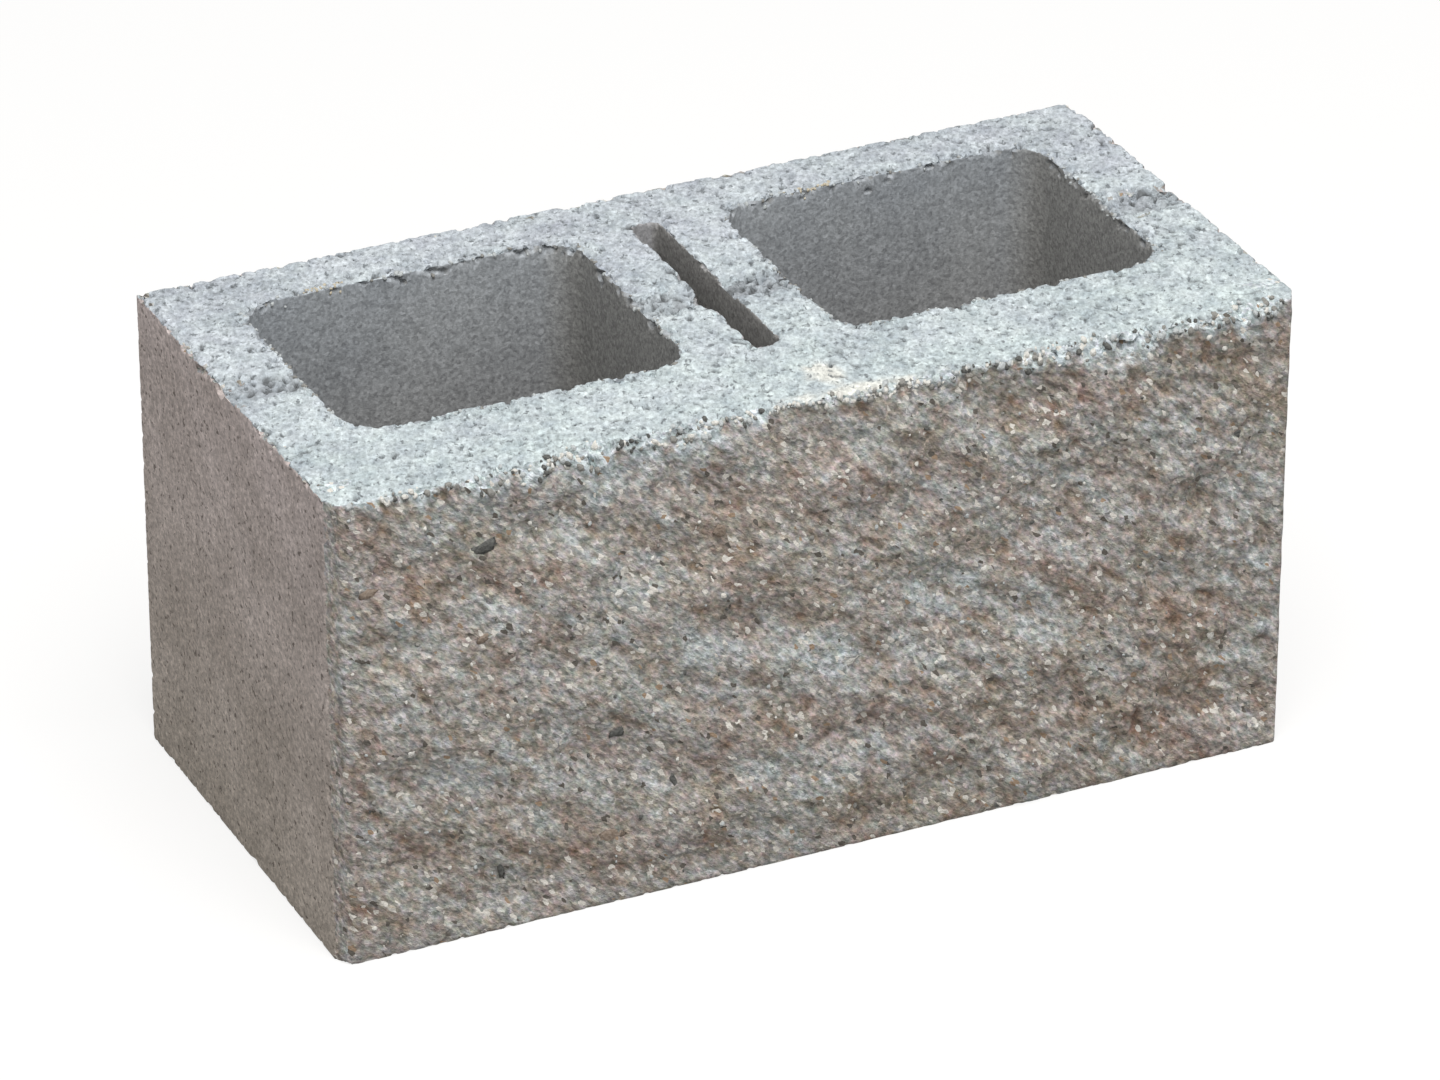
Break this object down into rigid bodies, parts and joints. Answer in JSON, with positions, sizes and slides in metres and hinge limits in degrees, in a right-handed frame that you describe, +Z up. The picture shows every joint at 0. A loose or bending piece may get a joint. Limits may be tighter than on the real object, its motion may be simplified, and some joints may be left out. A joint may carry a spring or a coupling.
{
  "type": "concrete block",
  "caption": "Hollow concrete masonry block with tapered cores, a kerf through its centre web and one rough split face, for building walls.",
  "frame": {"origin": "under the middle of the block, on the surface that it stands on", "axes": "+X along the length, +Y towards the moulded back face, +Z up; the split face looks along -Y"},
  "size_m": [0.3968, 0.1937, 0.1937],
  "materials": {
    "concrete": "matte, rough"
  },
  "bodies": {
    "root": {"concrete_block": "concrete"}
  },
  "joints": []
}
